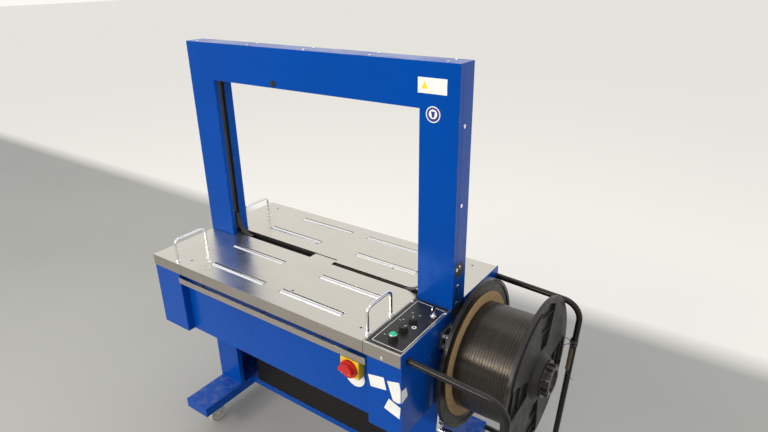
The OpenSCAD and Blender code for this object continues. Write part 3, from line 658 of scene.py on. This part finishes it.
# ---------------------------------------------------------------- main switch
SX, SZ = 363.5, TABLE - 119       # the knob's axis
DISC = -321.9, -321.4             # the painted edge highlight and the yellow dots on the knob's disc lie between these y
ARC = 14                          # pieces of the painted highlight's curve
# painted highlight: a white curve under the knob's raised lobe stands in for the light on its
# lower edge
s = Shape()
arc = [(SX - 20 + 40 * i / ARC, SZ - 6.2 - 2.6 * math.sin(math.pi * i / ARC))
       for i in range(ARC + 1)]
s.prism("y", [(x, z + 1.0) for x, z in arc] + [(x, z - 1.0) for x, z in reversed(arc)], *DISC)
s.done("switch_edge_highlight", "switch_knob", WHITE, "label_white")
# two small yellow dots on the knob's lower half
s = Shape()
for u, v in ((-7, -16), (3, -18)):
    s.prism("y", circle(SX + u, SZ + v, 2.4, 20), *DISC)
s.done("switch_dots", "switch_knob", YELLOW, "yellow_plastic")
# painted shade: thin black slanted strips on the housing stand in for the shade in its grooves
s = Shape()
for k in (0, 1, 2):
    u, v = SX + 28.6, SZ - 6 - 7.5 * k
    s.prism("y", [(u, v), (u + 4.4, v + 4.4), (u + 4.4, v + 6.8), (u, v + 2.4)],
            BOX_FRONT - 0.25, BOX_FRONT + 0.4)
s.done("switch_groove_shade", "frame", PLASTIC, "black_plastic")
s = Shape()
for sx in (-1, 1):
    for sz in (-1, 1):
        dome(s, "y", (SX + sx * 28.5, BOX_FRONT, SZ + sz * 26), 2.6, 1.2, -1)
s.done("switch_screws", "frame", ZINC, "zinc")

# ---------------------------------------------------------------- right leg's outer side
# painted shade: thin black plates on the leg's side stand in for the shade in its recessed slots
s = Shape()
s.prism("x", rounded(-26, 936, 20, 978, 3), X_END, X_END + 0.5)
s.prism("x", rounded(-22, 853, -8, 900, 3), X_END, X_END + 0.4)
s.done("leg_side_slot_shade", "frame", PLASTIC, "black_plastic")
s = Shape()
for cy, cz in ((-2.6, 966), (-19.5, 964), (-9, 904), (-12, 845)):
    dome(s, "x", (X_END + 0.3, cy, cz), 5.0, 2.2)
s.done("leg_side_screws", "frame", CHROME, "chrome")

# ---------------------------------------------------------------- table details
s = Shape()
s.block((-389.5, Y_FRONT - 0.15, 794.5), (-388.7, Y_FRONT + 0.4, TABLE - 1.5))
s.done("front_lip_seam", "frame", PLASTIC, "black_plastic")
for body, spots in (("front_table", ((66, -222), (-382, -270), (376, -266))),
                    ("rear_table", ((-97.5, 82.5), (250, 81), (-470, 250), (470, 250)))):
    s = Shape()
    for cx, cy in spots:
        s.lathe("z", (cx, cy, TABLE), [(0, 4.2), (0.3, 4.0), (0.35, 0.3)], 24)
    s.done(body + "_screws", body, CAST, "cast_dark")

# ---------------------------------------------------------------- reel
coil_low, coil_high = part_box("strap_coil")
COIL_X = coil_low.x * 1000 - SHIFT.x
COIL_END = coil_high.x * 1000 - SHIFT.x
COIL_R = (coil_high.z - coil_low.z) * 500
CORE_R = 101.0           # radius of the tube that the strap is wound on
turns = 21
pitch = (COIL_END - COIL_X) / turns
rng = random.Random(7)
profile = [(0, CORE_R), (0, COIL_R - 2)]
for k in range(turns):
    lift = rng.uniform(0.0, 0.5) if k < turns - 1 else 0.0
    a = pitch * k
    r = COIL_R - 0.05 - lift
    profile += [(a + 0.2, r - 0.55), (a + 0.6, r - 0.1), (a + pitch * 0.5, r),
                (a + pitch - 0.6, r - 0.1), (a + pitch - 0.2, r - 0.55)]
profile += [(pitch * turns, COIL_R - 2), (pitch * turns, CORE_R)]
s = Shape()
s.lathe("x", (COIL_X, REEL_Y, REEL_Z), profile, ROUND, True)
s.done("strap_turns", "reel", STRAP, "strap", ["strap_coil"], 40)

# raised rim round the cardboard disc
s = Shape()
s.lathe("x", (COIL_X - 3.9, REEL_Y, REEL_Z),
        [(0, 206.0), (0.5, 206.0), (0.5, 205.4), (0, 205.4)], ROUND, True)
s.done("board_edge_line", "reel", BOARD, "board")

# stepped rings on the inner flange's machine side
s = Shape()
for r, x in ((236.5, 588.3), (222, 592.2), (206, 592.2), (186, 592.2)):
    ring = [(0, r), (-1.6, r - 1.2), (-1.6, r - 4.2), (0, r - 5.4), (1, r - 5.4), (1, r)]
    s.lathe("x", (x, REEL_Y, REEL_Z), ring, ROUND, True)
s.done("inner_flange_steps", "reel", GLOSSY, "reel_plastic")

# ---------------------------------------------------------------- brake arm and bracket fixings
ARM_LEAN = math.radians(7.2)
ARM_Y, ARM_Z = -85.0, 765.0       # the arm's pivot
BOLT = 305.0                      # from the pivot to the bolt at the arm's lower end
s = Shape()
s.lathe("x", (566, ARM_Y - BOLT * math.sin(ARM_LEAN), ARM_Z - BOLT * math.cos(ARM_LEAN)),
        [(0, 8.5), (5, 8.5), (5.5, 6), (9, 5.8), (9.5, 4.6), (9.5, 0.4)], 24)
s.done("brake_arm_bolt", "brake_arm", ZINC, "zinc")
s = Shape()
for cy, cz in ((-103, 782), (-103, 744), (-50, 782), (-50, 744),
               (0, 695), (100, 695), (0, 595), (100, 595)):
    s.lathe("x", (556, cy, cz), [(0, 7.2), (3.6, 7.2), (4.2, 6.2), (4.2, 0.4)], 6)
s.done("bracket_bolts", "frame", ZINC, "zinc")

# ---------------------------------------------------------------- ties left on the rear guard tube
def tube_x(z):
    """x of the rear guard tube's centre line at height z."""
    return GUARD_X - (GUARD_Z - z) * GUARD_LEAN


WIRE_STEPS, WIRE_RISE = 20, 3.52  # points and millimetres for one turn of the wire
s = Shape()
for z0, coils, r in ((640, 3.5, 12.0), (629, 2.5, 12.2)):
    pts = []
    for i in range(int(coils * WIRE_STEPS) + 1):
        t = 2 * math.pi * i / WIRE_STEPS
        z = z0 + WIRE_RISE * i / WIRE_STEPS
        pts.append((tube_x(z) + r * math.cos(t), GUARD_Y + r * math.sin(t), z))
    s.tube(pts, 1.3, 8)
s.tube([(tube_x(646) - 11, 276, 646), (tube_x(650) - 18, 272, 655),
        (tube_x(650) - 26, 270, 659)], 1.2, 8)
s.tube([(tube_x(636) - 10, 275, 636), (tube_x(636) - 20, 270, 634),
        (tube_x(636) - 27, 268, 628)], 1.2, 8)
s.tube([(tube_x(520) - 9, 276, 540), (tube_x(520) + 2, 271, 522), (tube_x(505) + 14, 276, 503),
        (tube_x(500) + 21, 280, 494)], 1.1, 8)
s.done("guard_wire_ties", "frame", CAST, "cast_dark")
s = Shape()
path = [(tube_x(z), GUARD_Y, z) for z in (624, 600, 575, 550, 528)]
s.tube(path, [10.6, 10.9, 10.7, 10.9, 10.5], 20)
s.done("guard_tape", "frame", TAPE, "black_plastic")

# ---------------------------------------------------------------- caster hardware
for name, sx, sy in (("front_left", -1, -1), ("front_right", 1, -1),
                     ("rear_left", -1, 1), ("rear_right", 1, 1)):
    cx, cy = sx * CASTER_X, sy * CASTER_Y + CASTER_TRAIL
    s = Shape()
    for side in (-1, 1):
        s.lathe("x", (cx + side * 19, cy, AXLE_Z),
                [(0, 8), (side * 2, 8), (side * 2, 7), (side * 2.4, 0.4)], 24)
    s.done("caster_washers_" + name, "caster_fork_" + name, ZINC, "zinc")
    s = Shape()
    for side in (-1, 1):
        s.lathe("x", (cx + side * 12.6, cy, AXLE_Z),
                [(0, 24), (side * 0.35, 23.4), (side * 0.35, 20.6), (0, 20)], 48, True)
    s.done("caster_rings_" + name, "caster_wheel_" + name, TREAD, "caster_tread")
